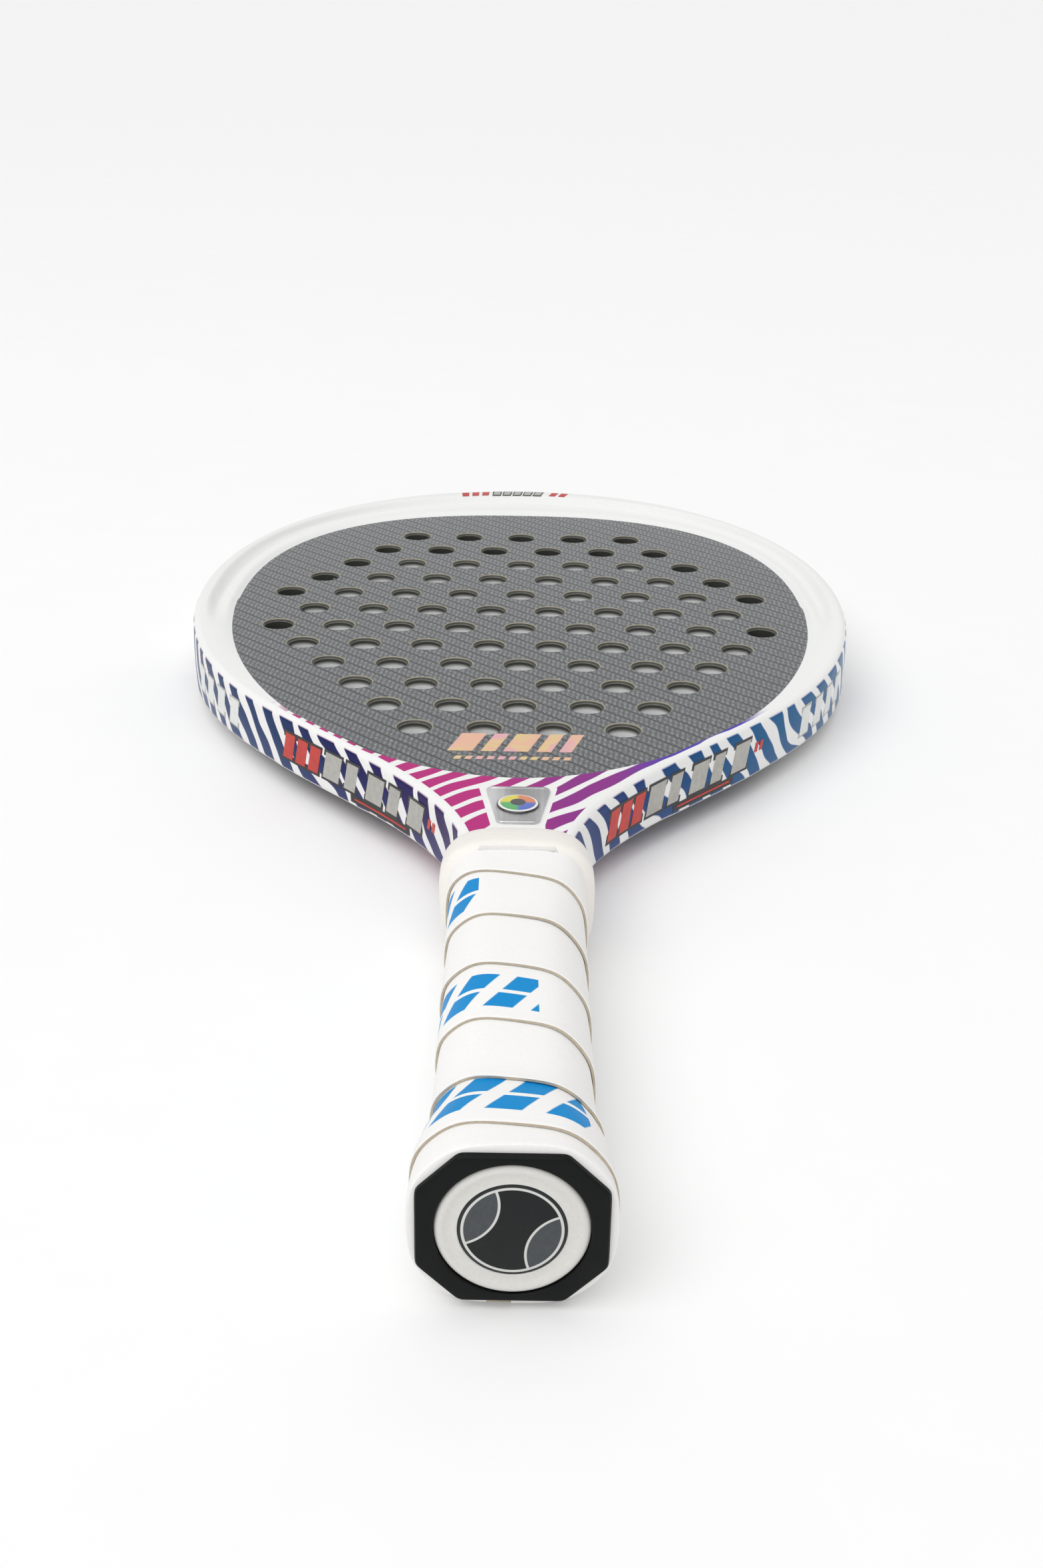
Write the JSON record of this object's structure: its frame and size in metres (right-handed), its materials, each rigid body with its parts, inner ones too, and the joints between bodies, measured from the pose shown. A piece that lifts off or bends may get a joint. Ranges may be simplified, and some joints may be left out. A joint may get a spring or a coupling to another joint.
{
  "type": "perforated sports racket",
  "caption": "Solid-face racket with a perforated carbon head, white frame with a raised rim, closed throat and a white wrapped octagonal handle.",
  "frame": {"origin": "centre of the butt end's flat face, on the racket's mid-plane", "axes": "+Y from the butt end along the handle to the tip, +X to the right with the front face up, +Z out of the front face"},
  "size_m": [0.226, 0.473, 0.0362],
  "materials": {
    "lacquer": "white lacquered composite with printed stripes, satin to gloss",
    "filler_foam": "closed-cell filler foam",
    "bridge_laminate": "uncoated carbon laminate",
    "eva_foam": "light grey EVA foam, drilled",
    "glass_laminate": "translucent glass-fibre laminate",
    "carbon_weave": "coarse carbon weave under a satin resin coat",
    "pallet_foam": "moulded hard polyurethane foam",
    "base_grip": "cushioned black polyurethane strip",
    "overgrip": "white tacky polyurethane tape on a non-woven backing, matte",
    "grip_tape": "white adhesive finishing tape",
    "collar_rubber": "soft white rubber",
    "cap_plastic": "black moulded plastic",
    "disc_plastic": "white moulded plastic",
    "badge_print": "printed domed badge in greys",
    "badge_metal": "brushed silver metal badge",
    "dome_resin": "clear resin dome over a printed colour ring",
    "decal_vinyl": "glossy printed vinyl",
    "foil": "rose-gold hot-stamped foil"
  },
  "bodies": {
    "root": {"frame_tube": "lacquer", "frame_foam": "filler_foam", "throat_bridge": "bridge_laminate", "throat_foam": "filler_foam", "eva_core": "eva_foam", "front_glass_ply": "glass_laminate", "back_glass_ply": "glass_laminate", "front_carbon_face": "carbon_weave", "back_carbon_face": "carbon_weave", "throat_cover_front": "lacquer", "throat_cover_back": "lacquer", "handle_pallet_front": "pallet_foam", "handle_pallet_back": "pallet_foam", "base_grip": "base_grip", "overgrip": "overgrip", "grip_end_tape": "grip_tape", "grip_collar": "collar_rubber", "butt_cap": "cap_plastic", "butt_disc": "disc_plastic", "butt_badge": "badge_print", "throat_badge_front": "badge_metal", "throat_badge_back": "badge_metal", "throat_dome_front": "dome_resin", "throat_dome_back": "dome_resin", "side_decal_left": "decal_vinyl", "side_decal_right": "decal_vinyl", "tip_decal": "decal_vinyl", "foil_mark_front": "foil", "foil_mark_back": "foil"}
  },
  "joints": []
}
